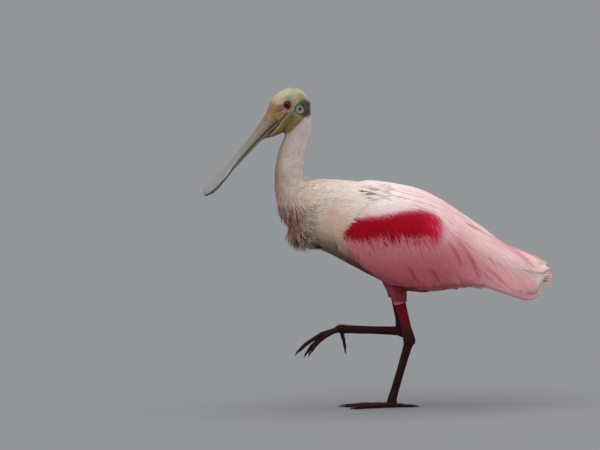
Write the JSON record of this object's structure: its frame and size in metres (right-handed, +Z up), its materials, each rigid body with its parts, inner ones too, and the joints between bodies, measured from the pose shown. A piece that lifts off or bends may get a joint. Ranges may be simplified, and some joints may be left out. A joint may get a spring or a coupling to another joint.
{
  "type": "roseate spoonbill figure",
  "caption": "Life-size still figure of a roseate spoonbill standing on one leg with the other lifted, head up and spoon bill pointing down",
  "frame": {"origin": "middle of the sole of the standing left foot, on the floor", "axes": "+Z up; the bird faces -X with its tail to +X; its left side is towards -Y"},
  "size_m": [0.5635, 0.1548, 0.513],
  "materials": {
    "back_plumage": "soft contour feathers, whitish shading to pink",
    "neck_plumage": "fine short feathers, cream white",
    "wing_plumage": "smooth overlapping pink feathers with a carmine shoulder bar",
    "tail_plumage": "smooth feathers, buff to pale orange",
    "thigh_plumage": "loose dark rose feathers",
    "leg_skin": "scaly dark red skin",
    "foot_skin": "scaly blackish skin",
    "claw_horn": "smooth dark horn",
    "bare_face": "bare wrinkled skin, greenish buff with a black band",
    "pouch_skin": "bare olive skin",
    "bill_horn": "grey-buff horn, slightly mottled",
    "eye_gloss": "wet red iris with a black pupil"
  },
  "bodies": {
    "root": {"torso": "back_plumage", "neck_upper": "neck_plumage", "neck_middle": "neck_plumage", "neck_lower": "neck_plumage", "head": "bare_face", "throat_pouch": "pouch_skin", "bill_upper": "bill_horn", "bill_lower": "bill_horn", "eye_left": "eye_gloss", "eye_right": "eye_gloss", "wing_left": "wing_plumage", "wing_right": "wing_plumage", "tail": "tail_plumage", "thigh_left": "thigh_plumage", "thigh_right": "thigh_plumage", "shin_left": "leg_skin", "shin_right": "leg_skin", "tarsus_left": "leg_skin", "tarsus_right": "leg_skin", "foot_left": "foot_skin", "foot_right": "foot_skin", "claw_left_inner": "claw_horn", "claw_left_middle": "claw_horn", "claw_left_outer": "claw_horn", "claw_left_hind": "claw_horn", "claw_right_inner": "claw_horn", "claw_right_middle": "claw_horn", "claw_right_outer": "claw_horn", "claw_right_hind": "claw_horn"}
  },
  "joints": []
}
